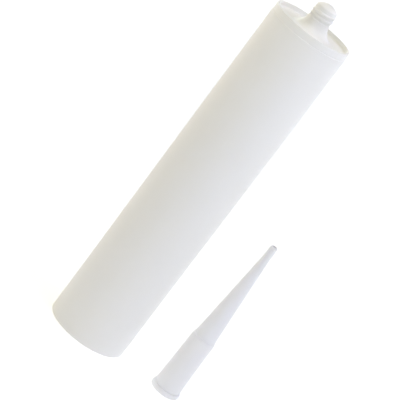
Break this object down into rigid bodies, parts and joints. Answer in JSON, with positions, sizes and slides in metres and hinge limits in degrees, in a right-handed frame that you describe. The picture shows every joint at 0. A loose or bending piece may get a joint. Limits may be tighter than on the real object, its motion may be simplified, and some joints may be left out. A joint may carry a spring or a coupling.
{
  "type": "caulk tube",
  "caption": "Plain white sealant cartridge standing on its rear rim, with a sliding piston inside, a closed threaded neck, and its cone nozzle standing beside it.",
  "frame": {"origin": "middle of the barrel's rear rim, in the plane that the rim stands on", "axes": "+Z along the barrel's axis, from the rear rim to the neck; +X towards the nozzle that stands beside it"},
  "size_m": [0.0894, 0.049, 0.2343],
  "materials": {
    "barrel_plastic": "satin white polyethylene, moulded",
    "piston_plastic": "soft natural-white polyethylene, moulded",
    "nozzle_plastic": "satin white polyethylene, moulded"
  },
  "bodies": {
    "root": {"barrel": "barrel_plastic", "nozzle": "nozzle_plastic"},
    "piston": {"piston": "piston_plastic"}
  },
  "joints": [
    {"name": "piston_slide", "type": "slide", "parent": "root", "child": "piston", "axis": [0, 0, 1], "range_m": [0, 0.182]}
  ]
}
